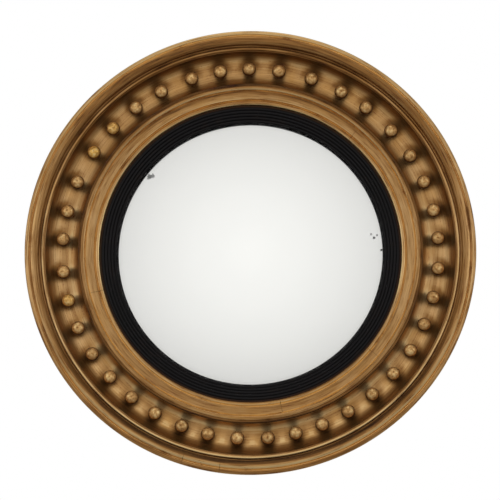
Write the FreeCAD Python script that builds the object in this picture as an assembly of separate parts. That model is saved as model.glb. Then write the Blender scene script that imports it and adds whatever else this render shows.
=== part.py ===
"""Convex butler's mirror: a turned, gilded wooden frame with a ring of balls in its cove, an ebonised
reeded slip, a convex silvered plate, a pine backboard and two swinging hanging rings.

Frame of reference, in millimetres: the wall is the plane Y = 0, the mirror faces -Y, Z is up and the
axis of every turned piece is the Y axis. A profile is drawn as (radius, height), where the height is
the distance in front of the wall, and is then turned round the Y axis.
"""

import FreeCAD
import Part
import math
import os

from FreeCAD import Vector

# ---- the convex plate, from which every radius is counted outwards ----
PLATE_RADIUS = 152.4
PLATE_CURVATURE = 560.0
PLATE_THICKNESS = 2.4
SILVERING_THICKNESS = 0.4
SILVERING_MARGIN = 1.0
PLATE_COVER = 4.3
PLATE_SIDE_CLEARANCE = 0.6
PLATE_FACE_CLEARANCE = 0.2

# ---- widths across the frame's face, from the glass outwards ----
SLIP_WIDTH = 19.4
SIGHT_EDGE_WIDTH = 0.4
SLIP_FILLET_WIDTH = 2.0
LIP_CLEARANCE = 0.3
INNER_BEAD_WIDTH = 4.6
INNER_GROOVE_WIDTH = 1.6
BAND_WIDTH = 8.7
BAND_GROOVE_WIDTH = 1.2
ASTRAGAL_WIDTH = 5.5
ASTRAGAL_FILLET_WIDTH = 2.0
RING_CLEARANCE = 0.2
COVE_INNER_WIDTH = 13.0
COVE_FLOOR_WIDTH = 8.0
COVE_OUTER_RADIUS = 15.0
COVE_LEDGE_WIDTH = 0.5
FILLET_BEAD_WIDTH = 4.2
QUIRK_WIDTH = 2.0
TORUS_WIDTH = 10.2
OUTER_GROOVE_WIDTH = 0.5
OUTER_BEAD_WIDTH = 5.0

# ---- heights in front of the wall ----
RECESS_DEPTH = 7.0
BOARD_THICKNESS = 8.0
BACK_LAYER_THICKNESS = 11.0
PACKER_DEPTH = 9.1
SLIP_FLANGE_THICKNESS = 9.0
SIGHT_EDGE_THICKNESS = 1.0
SLIP_FILLET_DEPTH = 0.6
LIP_STEP = 1.2
INNER_BEAD_TILT = 0.8
INNER_BEAD_RISE = 2.2
BAND_INNER_STEP = 2.2
BAND_RISE = 2.2
ASTRAGAL_RISE = 2.6
GROOVE_DEPTH = 1.0
COVE_FLOOR_THICKNESS = 9.0
COVE_INNER_HEIGHT = 6.5
FILLET_BEAD_RISE = 2.2
QUIRK_DEPTH = 0.9
TORUS_FOOT = 0.9
TORUS_TILT = 2.6
TORUS_RISE = 4.8
OUTER_GROOVE_DEPTH = 0.5

# ---- the slip's reeds ----
REED_COUNT = 5
REED_RISE = 1.15
SLIP_OUTER_SLOPE = 4.0
SLIP_INNER_SLOPE = 20.0
SLIP_FLANGE_WIDTH = 4.9

# ---- the back of the frame ----
FELLOE_COUNT = 8
FELLOE_PHASE = 8.0
FOOT_WIDTH = 24.0
FOOT_SETBACK = 12.0
FOOT_ROUND = 2.0
SIDE_BACK_SETBACK = 5.5
SIDE_FRONT_SETBACK = 3.2
BORE_CLEARANCE = 0.3

# ---- the balls in the cove ----
BALL_COUNT = 39
BALL_DIAMETER = 15.6
BALL_FLAT = 0.8
BALL_PHASE = 7.06
BALL_DRIFT = 3.0
BALL_SHIFTS = (
    0.1, -0.4, -0.4, -0.7, -0.4, 0.6, 0.1, 0.5, 1.1, 0.6, -0.2, -0.8, -0.3,
    -0.7, -0.8, -0.9, 0.2, 0.3, -0.3, 0.5, 0.3, 0.2, 0.2, 0.1, 0.3, 0.0,
    0.2, -0.3, -0.1, 0.4, 0.2, -0.1, -0.1, 0.1, 0.2, 0.1, 0.2, -0.1, -0.1,
)

# ---- backboard and the packing behind the plate ----
PLANK_COUNT = 3
PLANK_GAP = 0.4
BOARD_CLEARANCE = 0.6
PACKER_COUNT = 8
PACKER_WIDTH = 7.0
PACKER_SWEEP = 8.0
PACKER_CLEARANCE = 0.2

# ---- screws and brads ----
SCREW_RADIUS = 1.5
SCREW_HEAD_RADIUS = 3.0
SCREW_HEAD_DEPTH = 1.5
SCREW_POINT = 2.5
SCREW_SLOT_WIDTH = 0.8
SCREW_SLOT_DEPTH = 0.7
SCREW_CLEARANCE = 0.05
BOARD_SCREW_COUNT = 6
BOARD_SCREW_LENGTH = 15.0
BOARD_SCREW_INSET = 8.0
HANGER_SCREW_LENGTH = 10.0
BRAD_COUNT = 8
BRAD_RADIUS = 0.7
BRAD_LENGTH = 14.0

# ---- strap hangers and their rings ----
HANGER_ANGLE = 28.0
HANGER_INSET = 20.5
STRAP_WIDTH = 11.0
STRAP_LENGTH = 34.0
STRAP_THICKNESS = 1.2
STRAP_JOGGLE = 0.35
STRAP_HOLES = (11.0, 26.0)
RING_WIRE_RADIUS = 1.25
RING_RUNNING_CLEARANCE = 0.05
RING_BOW_RADIUS = 12.0
RING_CORNER_RADIUS = 4.0
RING_BOW_DROP = 8.0

# ---- levels and radii that follow ----
FLOOR_LEVEL = RECESS_DEPTH
BOARD_FRONT = FLOOR_LEVEL + BOARD_THICKNESS
JOINT_LEVEL = FLOOR_LEVEL + BACK_LAYER_THICKNESS
FLANGE_LEVEL = BOARD_FRONT + SLIP_FLANGE_THICKNESS
SIGHT_RADIUS = PLATE_RADIUS - PLATE_COVER
SLIP_RADIUS = SIGHT_RADIUS + SLIP_WIDTH
LIP_RADIUS = SLIP_RADIUS + LIP_CLEARANCE
FLANGE_RADIUS = LIP_RADIUS + SLIP_FLANGE_WIDTH
BORE_RADIUS = FLANGE_RADIUS + BORE_CLEARANCE
INNER_MOULDING_RADIUS = (
    LIP_RADIUS + INNER_BEAD_WIDTH + INNER_GROOVE_WIDTH + BAND_WIDTH
    + BAND_GROOVE_WIDTH + ASTRAGAL_WIDTH + ASTRAGAL_FILLET_WIDTH
)
COVE_INNER_RADIUS = INNER_MOULDING_RADIUS + RING_CLEARANCE
COVE_FLOOR_INNER = COVE_INNER_RADIUS + COVE_INNER_WIDTH
COVE_FLOOR_OUTER = COVE_FLOOR_INNER + COVE_FLOOR_WIDTH
COVE_EDGE_RADIUS = COVE_FLOOR_OUTER + COVE_OUTER_RADIUS
TORUS_INNER = COVE_EDGE_RADIUS + COVE_LEDGE_WIDTH + FILLET_BEAD_WIDTH + QUIRK_WIDTH
TORUS_OUTER = TORUS_INNER + TORUS_WIDTH
OUTER_RADIUS = TORUS_OUTER + OUTER_GROOVE_WIDTH + OUTER_BEAD_WIDTH
COVE_FLOOR_LEVEL = JOINT_LEVEL + COVE_FLOOR_THICKNESS
COVE_EDGE_LEVEL = COVE_FLOOR_LEVEL + COVE_OUTER_RADIUS
PLATE_CENTRE_LEVEL = BOARD_FRONT + PACKER_DEPTH - math.sqrt(
    (PLATE_CURVATURE - PLATE_THICKNESS) ** 2 - PLATE_RADIUS ** 2
)
TURN_AXIS = Vector(0, 1, 0)
ORIGIN = Vector(0, 0, 0)


def at(radius, height):
    """A point of a turned profile."""
    return Vector(radius, -height, 0)


def polar(radius, degrees, height):
    """A point at an angle round the mirror, counted anticlockwise from +X as seen from the front."""
    angle = math.radians(degrees)
    return Vector(radius * math.cos(angle), -height, radius * math.sin(angle))


def line(start, end):
    return Part.LineSegment(start, end).toShape()


def arc(start, end, rise):
    """An arc that stands out from its chord, to the left of the way it runs, by the given rise."""
    chord = end - start
    left = Vector(chord.y, -chord.x, 0).normalize()
    middle = (start + end) * 0.5 + left * rise
    return Part.Arc(start, middle, end).toShape()


def outline(start, *moves):
    """A closed wire through (point, rise) moves, where a rise of 0 is a straight line."""
    edges = []
    here = start
    for point, rise in moves:
        edges.append(arc(here, point, rise) if rise else line(here, point))
        here = point
    edges.append(line(here, start))
    return Part.Wire(edges)


def turned(wire, sweep=360.0, start=0.0):
    """The profile turned round the mirror's axis, from one angle through a sweep."""
    face = Part.Face(wire)
    solid = face.revolve(ORIGIN, TURN_AXIS, -sweep)
    solid.rotate(ORIGIN, TURN_AXIS, -start)
    return solid


def save(name, *solids):
    """Writes one node, which is one solid or a group of like solids."""
    shape = solids[0] if len(solids) == 1 else Part.makeCompound(list(solids))
    shape.exportStep("parts/" + name + ".step")


def plate_front(radius):
    """Height of the plate's convex face at a radius."""
    return PLATE_CENTRE_LEVEL + math.sqrt(PLATE_CURVATURE ** 2 - radius ** 2)


def plate_back(radius):
    """Height of the plate's concave face at a radius."""
    return PLATE_CENTRE_LEVEL + math.sqrt((PLATE_CURVATURE - PLATE_THICKNESS) ** 2 - radius ** 2)


def cap(curvature, thickness, rim_radius):
    """A shell between two spheres about the plate's centre, cut to a round rim."""
    inner = curvature - thickness
    outer_rim = PLATE_CENTRE_LEVEL + math.sqrt(curvature ** 2 - rim_radius ** 2)
    inner_rim = PLATE_CENTRE_LEVEL + math.sqrt(inner ** 2 - rim_radius ** 2)
    crest = PLATE_CENTRE_LEVEL + curvature
    hollow = PLATE_CENTRE_LEVEL + inner
    half = math.asin(rim_radius / curvature) / 2
    front_middle = at(curvature * math.sin(half), PLATE_CENTRE_LEVEL + curvature * math.cos(half))
    half = math.asin(rim_radius / inner) / 2
    back_middle = at(inner * math.sin(half), PLATE_CENTRE_LEVEL + inner * math.cos(half))
    edges = [
        line(at(0, hollow), at(0, crest)),
        Part.Arc(at(0, crest), front_middle, at(rim_radius, outer_rim)).toShape(),
        line(at(rim_radius, outer_rim), at(rim_radius, inner_rim)),
        Part.Arc(at(rim_radius, inner_rim), back_middle, at(0, hollow)).toShape(),
    ]
    return turned(Part.Wire(edges))


def reed_valleys():
    """The valleys between the reeds, from the sight edge outwards, on a face that steepens to the glass."""
    inner = math.radians(SLIP_INNER_SLOPE)
    outer = math.radians(SLIP_OUTER_SLOPE)
    width = SLIP_WIDTH - SIGHT_EDGE_WIDTH - SLIP_FILLET_WIDTH
    curve = width / (math.sin(inner) - math.sin(outer))
    radius = SIGHT_RADIUS + SIGHT_EDGE_WIDTH
    level = plate_front(SIGHT_RADIUS) + PLATE_FACE_CLEARANCE + SIGHT_EDGE_THICKNESS
    valleys = []
    for i in range(REED_COUNT + 1):
        slope = inner + (outer - inner) * i / REED_COUNT
        across = curve * (math.sin(inner) - math.sin(slope))
        up = curve * (math.cos(slope) - math.cos(inner))
        valleys.append(at(radius + across, level + up))
    return valleys


REED_VALLEYS = reed_valleys()
SLIP_EDGE_LEVEL = -REED_VALLEYS[-1].y - SLIP_FILLET_DEPTH
LIP_LEVEL = SLIP_EDGE_LEVEL + LIP_STEP


def slip():
    """The ebonised slip: reeds and a sunk fillet in front, a rebate for the plate behind, and a flange
    that lies under the inner moulding."""
    rebate = PLATE_RADIUS + PLATE_SIDE_CLEARANCE
    lip_back = plate_front(SIGHT_RADIUS) + PLATE_FACE_CLEARANCE
    rebate_level = plate_front(PLATE_RADIUS) + PLATE_FACE_CLEARANCE
    moves = [(at(SIGHT_RADIUS, -REED_VALLEYS[0].y), 0), (REED_VALLEYS[0], 0)]
    moves += [(valley, REED_RISE) for valley in REED_VALLEYS[1:]]
    moves += [
        (at(REED_VALLEYS[-1].x, SLIP_EDGE_LEVEL), 0),
        (at(SLIP_RADIUS, SLIP_EDGE_LEVEL), 0),
        (at(SLIP_RADIUS, FLANGE_LEVEL), 0),
        (at(FLANGE_RADIUS, FLANGE_LEVEL), 0),
        (at(FLANGE_RADIUS, BOARD_FRONT), 0),
        (at(rebate, BOARD_FRONT), 0),
        (at(rebate, rebate_level), 0),
    ]
    ring = turned(outline(at(SIGHT_RADIUS, lip_back), *moves))
    ring = ring.cut(Part.makeCompound([screw_hole(*s) for s in board_screws()]))
    return ring.cut(Part.makeCompound([brad_hole(p) for p in brad_points()]))


def inner_moulding():
    """The ring next to the slip: bead, broad band and astragal, rebated behind for the slip."""
    bead_outer = LIP_RADIUS + INNER_BEAD_WIDTH
    band_inner = bead_outer + INNER_GROOVE_WIDTH
    band_outer = band_inner + BAND_WIDTH
    astragal_inner = band_outer + BAND_GROOVE_WIDTH
    astragal_outer = astragal_inner + ASTRAGAL_WIDTH
    bead_level = LIP_LEVEL + INNER_BEAD_TILT
    band_level = bead_level + BAND_INNER_STEP
    astragal_level = band_level + BAND_RISE
    wire = outline(
        at(LIP_RADIUS, FLANGE_LEVEL),
        (at(LIP_RADIUS, LIP_LEVEL), 0),
        (at(bead_outer, bead_level), INNER_BEAD_RISE),
        (at(bead_outer + INNER_GROOVE_WIDTH / 2, bead_level - GROOVE_DEPTH / 2), 0),
        (at(band_inner, band_level), 0),
        (at(band_outer, band_level + BAND_RISE), 0),
        (at(band_outer + BAND_GROOVE_WIDTH / 2, astragal_level - GROOVE_DEPTH), 0),
        (at(astragal_inner, astragal_level), 0),
        (at(astragal_outer, astragal_level), ASTRAGAL_RISE),
        (at(INNER_MOULDING_RADIUS, astragal_level), 0),
        (at(INNER_MOULDING_RADIUS, JOINT_LEVEL), 0),
        (at(BORE_RADIUS, JOINT_LEVEL), 0),
        (at(BORE_RADIUS, FLANGE_LEVEL), 0),
    )
    return turned(wire).cut(Part.makeCompound([brad_hole(p) for p in brad_points()]))


def outer_moulding():
    """The outer ring: the cove that carries the balls, a fillet bead, the large torus and the edge bead."""
    quarter = COVE_OUTER_RADIUS * (1 - math.sqrt(0.5))
    chord = math.hypot(COVE_INNER_WIDTH, COVE_INNER_HEIGHT)
    cove_radius = chord ** 2 / (2 * COVE_INNER_HEIGHT)
    cove_rise = cove_radius - math.sqrt(cove_radius ** 2 - (chord / 2) ** 2)
    bead_inner = COVE_EDGE_RADIUS + COVE_LEDGE_WIDTH
    bead_outer = bead_inner + FILLET_BEAD_WIDTH
    quirk_level = COVE_EDGE_LEVEL - QUIRK_DEPTH
    torus_level = COVE_EDGE_LEVEL + TORUS_FOOT
    edge_level = torus_level + TORUS_TILT
    bead_level = edge_level - OUTER_GROOVE_DEPTH / 2
    groove = TORUS_OUTER + OUTER_GROOVE_WIDTH / 2
    edge_inner = TORUS_OUTER + OUTER_GROOVE_WIDTH
    edge_radius = OUTER_BEAD_WIDTH / 2
    wire = outline(
        at(COVE_INNER_RADIUS, JOINT_LEVEL),
        (at(COVE_INNER_RADIUS, COVE_FLOOR_LEVEL + COVE_INNER_HEIGHT), 0),
        (at(COVE_FLOOR_INNER, COVE_FLOOR_LEVEL), -cove_rise),
        (at(COVE_FLOOR_OUTER, COVE_FLOOR_LEVEL), 0),
        (at(COVE_EDGE_RADIUS, COVE_EDGE_LEVEL), -quarter),
        (at(bead_inner, COVE_EDGE_LEVEL), 0),
        (at(bead_outer, COVE_EDGE_LEVEL), FILLET_BEAD_RISE),
        (at(bead_outer + QUIRK_WIDTH / 4, quirk_level), 0),
        (at(TORUS_INNER, quirk_level), 0),
        (at(TORUS_INNER, torus_level), 0),
        (at(TORUS_OUTER, edge_level), TORUS_RISE),
        (at(groove, edge_level - OUTER_GROOVE_DEPTH), 0),
        (at(edge_inner, bead_level), 0),
        (at(OUTER_RADIUS, bead_level), edge_radius),
        (at(OUTER_RADIUS - edge_radius, bead_level - edge_radius), edge_radius * (1 - math.sqrt(0.5))),
        (at(OUTER_RADIUS - SIDE_FRONT_SETBACK, bead_level - edge_radius), 0),
        (at(OUTER_RADIUS - SIDE_BACK_SETBACK, JOINT_LEVEL), 0),
    )
    return turned(wire)


def back_felloe(index):
    """One sawn segment of the back layer, with its part of the turned foot that lies on the wall."""
    foot_outer = OUTER_RADIUS - FOOT_SETBACK
    foot_inner = foot_outer - FOOT_WIDTH
    side_step = SIDE_BACK_SETBACK - FOOT_SETBACK
    round_top = foot_outer - side_step * FOOT_ROUND / JOINT_LEVEL
    wire = outline(
        at(BORE_RADIUS, FLOOR_LEVEL),
        (at(BORE_RADIUS, JOINT_LEVEL), 0),
        (at(OUTER_RADIUS - SIDE_BACK_SETBACK, JOINT_LEVEL), 0),
        (at(round_top, FOOT_ROUND), 0),
        (at(foot_outer - FOOT_ROUND, 0), FOOT_ROUND * (1 - math.sqrt(0.5))),
        (at(foot_inner, 0), 0),
        (at(foot_inner, FLOOR_LEVEL), 0),
    )
    sweep = 360.0 / FELLOE_COUNT
    felloe = turned(wire, sweep, FELLOE_PHASE + sweep * index)
    return felloe.cut(Part.makeCompound([screw_hole(*s) for s in hanger_screws()]))


def ball_angle(index):
    """Angle of a ball round the cove. The balls were set out by hand, a little closer together at the
    bottom than at the top, and each a little off its place."""
    even = 360.0 * index / BALL_COUNT
    shift = BALL_SHIFTS[index % len(BALL_SHIFTS)]
    return BALL_PHASE + even - BALL_DRIFT * math.cos(math.radians(even)) + shift


def ball(index):
    """A turned ball with a flat glued to the cove's floor."""
    radius = BALL_DIAMETER / 2
    centre_level = COVE_FLOOR_LEVEL + radius - BALL_FLAT
    ring_radius = (COVE_FLOOR_INNER + COVE_FLOOR_OUTER) / 2
    flat = math.sqrt(radius ** 2 - (radius - BALL_FLAT) ** 2)
    front = at(0, centre_level + radius)
    base = at(flat, COVE_FLOOR_LEVEL)
    side = at(radius, centre_level)
    edges = [
        Part.Arc(front, side, base).toShape(),
        line(base, at(0, COVE_FLOOR_LEVEL)),
        line(at(0, COVE_FLOOR_LEVEL), front),
    ]
    solid = turned(Part.Wire(edges))
    solid.translate(polar(ring_radius, ball_angle(index), 0))
    return solid


def board_screws():
    """Head point and length of each screw that holds the backboard to the slip."""
    radius = FLANGE_RADIUS - BOARD_SCREW_INSET
    step = 360.0 / BOARD_SCREW_COUNT
    return [(polar(radius, step * i, FLOOR_LEVEL), BOARD_SCREW_LENGTH) for i in range(BOARD_SCREW_COUNT)]


def hanger_roll(side):
    """Axis point of a hanger's roll, on the left (-1) or the right (+1) of the mirror as seen in front."""
    angle = HANGER_ANGLE if side > 0 else 180.0 - HANGER_ANGLE
    outer = RING_WIRE_RADIUS + RING_RUNNING_CLEARANCE + STRAP_THICKNESS
    return polar(BORE_RADIUS + HANGER_INSET, angle, FLOOR_LEVEL - outer - STRAP_JOGGLE)


def hanger_screws():
    """Head point and length of each screw that holds a strap to the frame."""
    screws = []
    for side in (-1, 1):
        roll = hanger_roll(side)
        for drop in STRAP_HOLES:
            head = Vector(roll.x, STRAP_THICKNESS - FLOOR_LEVEL, roll.z - drop)
            screws.append((head, HANGER_SCREW_LENGTH))
    return screws


def screw_form(head, length, spare):
    """A countersunk wood screw, or with a spare the hole that takes it. It points away from the wall."""
    neck = SCREW_HEAD_DEPTH
    wire = Part.makePolygon([
        at(0, 0),
        at(SCREW_HEAD_RADIUS + spare, 0),
        at(SCREW_RADIUS + spare, neck),
        at(SCREW_RADIUS + spare, length - SCREW_POINT),
        at(0, length + spare),
        at(0, 0),
    ])
    solid = turned(wire)
    solid.translate(head)
    return solid


def screw(head, length):
    """A slotted countersunk wood screw."""
    width = 2 * SCREW_HEAD_RADIUS
    slot = Part.makeBox(width, SCREW_SLOT_DEPTH, SCREW_SLOT_WIDTH)
    slot.translate(head - Vector(width / 2, SCREW_SLOT_DEPTH, SCREW_SLOT_WIDTH / 2))
    return screw_form(head, length, 0.0).cut(slot)


def screw_hole(head, length):
    return screw_form(head, length, SCREW_CLEARANCE)


def brad_points():
    """Where the brads go in through the slip's flange, halfway between the backboard's screws."""
    radius = (LIP_RADIUS + FLANGE_RADIUS) / 2
    step = 360.0 / BRAD_COUNT
    return [polar(radius, step * (i + 0.5), BOARD_FRONT) for i in range(BRAD_COUNT)]


def brad(point):
    """A fine headless brad through the slip's flange into the inner moulding."""
    return Part.makeCylinder(BRAD_RADIUS, BRAD_LENGTH, point, Vector(0, -1, 0))


def brad_hole(point):
    radius = BRAD_RADIUS + SCREW_CLEARANCE
    return Part.makeCylinder(radius, BRAD_LENGTH + SCREW_CLEARANCE, point, Vector(0, -1, 0))


def packer(index):
    """A wooden packer between the plate's rim and the backboard."""
    outer = PLATE_RADIUS
    inner = outer - PACKER_WIDTH
    back = SILVERING_THICKNESS + PACKER_CLEARANCE
    wire = outline(
        at(inner, BOARD_FRONT),
        (at(inner, plate_back(inner) - back), 0),
        (at(outer, plate_back(outer) - back), 0),
        (at(outer, BOARD_FRONT), 0),
    )
    step = 360.0 / PACKER_COUNT
    return turned(wire, PACKER_SWEEP, step * (index + 0.5) - PACKER_SWEEP / 2)


def plank(index):
    """One of the level pine planks of the round backboard."""
    radius = FLANGE_RADIUS - BOARD_CLEARANCE
    disc = Part.makeCylinder(radius, BOARD_THICKNESS, at(0, FLOOR_LEVEL), Vector(0, -1, 0))
    height = 2 * radius / PLANK_COUNT
    strip = Part.makeBox(2 * radius, BOARD_THICKNESS, height - PLANK_GAP)
    strip.translate(Vector(-radius, -BOARD_FRONT, height * index - radius + PLANK_GAP / 2))
    return disc.common(strip).cut(Part.makeCompound([screw_hole(*s) for s in board_screws()]))


def strap(side):
    """A strap hanger: a flat strap with a roll at its upper end for the ring, and two countersunk holes."""
    roll = hanger_roll(side)
    bore = RING_WIRE_RADIUS + RING_RUNNING_CLEARANCE
    left = Vector(roll.x - STRAP_WIDTH / 2, roll.y, roll.z)
    barrel = Part.makeCylinder(bore + STRAP_THICKNESS, STRAP_WIDTH, left, Vector(1, 0, 0))
    hollow = Part.makeCylinder(bore, STRAP_WIDTH, left, Vector(1, 0, 0))
    flat = Part.makeBox(STRAP_WIDTH, STRAP_THICKNESS, STRAP_LENGTH - STRAP_WIDTH / 2)
    bottom = roll.z - STRAP_LENGTH + STRAP_WIDTH / 2
    flat.translate(Vector(left.x, -FLOOR_LEVEL, bottom))
    end = Vector(roll.x, -FLOOR_LEVEL, bottom)
    rounded = Part.makeCylinder(STRAP_WIDTH / 2, STRAP_THICKNESS, end, Vector(0, 1, 0))
    body = barrel.fuse([flat, rounded]).removeSplitter().cut(hollow)
    return body.cut(Part.makeCompound([screw_hole(*s) for s in hanger_screws()]))


def ring(side):
    """The hanging ring, a closed D of wire whose bar turns in the strap's roll. It hangs at rest."""
    roll = hanger_roll(side)
    reach = RING_BOW_RADIUS - RING_CORNER_RADIUS
    half_bar = math.sqrt(reach ** 2 - (RING_BOW_DROP - RING_CORNER_RADIUS) ** 2)
    corner_drop = RING_CORNER_RADIUS
    bow = Vector(0, 0, -RING_BOW_DROP)

    def touch(sign):
        centre = Vector(sign * half_bar, 0, -corner_drop)
        return centre + (centre - bow).normalize() * RING_CORNER_RADIUS

    def corner(sign):
        centre = Vector(sign * half_bar, 0, -corner_drop)
        top = Vector(sign * half_bar, 0, 0)
        way = ((touch(sign) - centre) + (top - centre)).normalize()
        middle = centre + way * RING_CORNER_RADIUS
        return Part.Arc(top, middle, touch(sign)).toShape()

    low = bow - Vector(0, 0, RING_BOW_RADIUS)
    path = Part.Wire(Part.__sortEdges__([
        line(Vector(-half_bar, 0, 0), Vector(half_bar, 0, 0)),
        corner(1),
        Part.Arc(touch(1), low, touch(-1)).toShape(),
        corner(-1),
    ]))
    section = Part.Wire([Part.makeCircle(RING_WIRE_RADIUS, ORIGIN, Vector(1, 0, 0))])
    wire = path.makePipeShell([section], True, False)
    wire.translate(roll)
    return wire


def main():
    os.makedirs("parts", exist_ok=True)
    for index in range(FELLOE_COUNT):
        save("back_felloe_%d" % (index + 1), back_felloe(index))
    save("outer_moulding", outer_moulding())
    save("inner_moulding", inner_moulding())
    save("reeded_slip", slip())
    save("gilt_balls", *[ball(i) for i in range(BALL_COUNT)])
    save("convex_plate", cap(PLATE_CURVATURE, PLATE_THICKNESS, PLATE_RADIUS))
    save("silvering", cap(PLATE_CURVATURE - PLATE_THICKNESS, SILVERING_THICKNESS,
                          PLATE_RADIUS - SILVERING_MARGIN))
    save("plate_packers", *[packer(i) for i in range(PACKER_COUNT)])
    for index, name in enumerate(("lower", "middle", "upper")):
        save("backboard_plank_" + name, plank(index))
    save("backboard_screws", *[screw(*s) for s in board_screws()])
    save("slip_brads", *[brad(p) for p in brad_points()])
    save("hanger_screws", *[screw(*s) for s in hanger_screws()])
    for side, name in ((-1, "left"), (1, "right")):
        save("hanger_strap_" + name, strap(side))
        save("hanging_ring_" + name, ring(side))


main()
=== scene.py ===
"""Looks of a convex butler's mirror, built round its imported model.

The gilded mouldings, the reeded slip and the bowed plate are turned again here with softened arrises,
the balls are set into the cove one by one, and the joinery and hangers behind are eased copies of the
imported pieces. Sizes are in millimetres until a mesh is made: a profile is drawn as (radius, height in
front of the wall) and turned round the Y axis.
"""

import logging
import math
import random
from collections.abc import Sequence
from dataclasses import dataclass, field
from enum import Enum

import bmesh
import bpy
from mathutils import Matrix, Vector
from mathutils.kdtree import KDTree


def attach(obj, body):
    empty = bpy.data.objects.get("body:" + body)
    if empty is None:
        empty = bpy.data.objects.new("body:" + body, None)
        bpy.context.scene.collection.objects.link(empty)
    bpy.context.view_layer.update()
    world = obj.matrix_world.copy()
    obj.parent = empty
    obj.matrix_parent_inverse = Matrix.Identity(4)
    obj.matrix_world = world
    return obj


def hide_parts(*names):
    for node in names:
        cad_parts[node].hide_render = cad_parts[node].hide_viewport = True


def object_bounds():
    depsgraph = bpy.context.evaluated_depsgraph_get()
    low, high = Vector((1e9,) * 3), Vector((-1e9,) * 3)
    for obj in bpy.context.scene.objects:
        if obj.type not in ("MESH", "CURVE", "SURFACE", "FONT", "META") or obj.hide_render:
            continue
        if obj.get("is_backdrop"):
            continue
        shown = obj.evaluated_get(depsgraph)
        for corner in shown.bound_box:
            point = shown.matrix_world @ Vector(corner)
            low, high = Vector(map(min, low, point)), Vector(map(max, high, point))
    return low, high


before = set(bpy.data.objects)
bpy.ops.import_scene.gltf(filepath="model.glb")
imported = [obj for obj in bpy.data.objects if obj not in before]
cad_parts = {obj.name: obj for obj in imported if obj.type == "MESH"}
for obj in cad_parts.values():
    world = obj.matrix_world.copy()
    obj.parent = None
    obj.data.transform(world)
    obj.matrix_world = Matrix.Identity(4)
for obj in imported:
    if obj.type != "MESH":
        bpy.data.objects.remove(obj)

Mesh = bmesh.types.BMesh
Piece = bpy.types.Object
Socket = bpy.types.NodeSocket
Value = float | tuple | Socket | bpy.types.Node

log = logging.getLogger("butlers_mirror")
TURN_STEPS = 360
STREAK_RADIUS = 200.0
# Length of one band of a wave texture at a scale of 1.
WAVE_LENGTH = 0.314
SHARP_ANGLE = math.radians(28.0)
FLAT_ANGLE = math.radians(0.5)
WELD = 0.002


class Body(Enum):
    """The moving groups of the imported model."""

    FRAME = "frame"
    LEFT_RING = "left_ring"
    RIGHT_RING = "right_ring"


class Slot(Enum):
    """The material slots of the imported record."""

    GILDING = "gilding"
    EBONISED = "ebonised_wood"
    PLATE = "plate_glass"
    SILVER = "silver"
    BARE_PINE = "bare_pine"
    BACKBOARD = "backboard_pine"
    STEEL = "steel"
    BRASS = "brass_plate"


def mm(value: float) -> float:
    """Millimetres in metres."""
    return value / 1000.0


def linear(code: str) -> tuple[float, float, float, float]:
    """Turns an sRGB hex colour into linear RGBA.

    Args:
        code: six hex digits.

    Returns:
        The colour as Blender's shaders take it.
    """
    parts = [int(code[i:i + 2], 16) / 255.0 for i in (0, 2, 4)]
    red, green, blue = (c / 12.92 if c <= 0.04045 else ((c + 0.055) / 1.055) ** 2.4 for c in parts)
    return red, green, blue, 1.0


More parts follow.
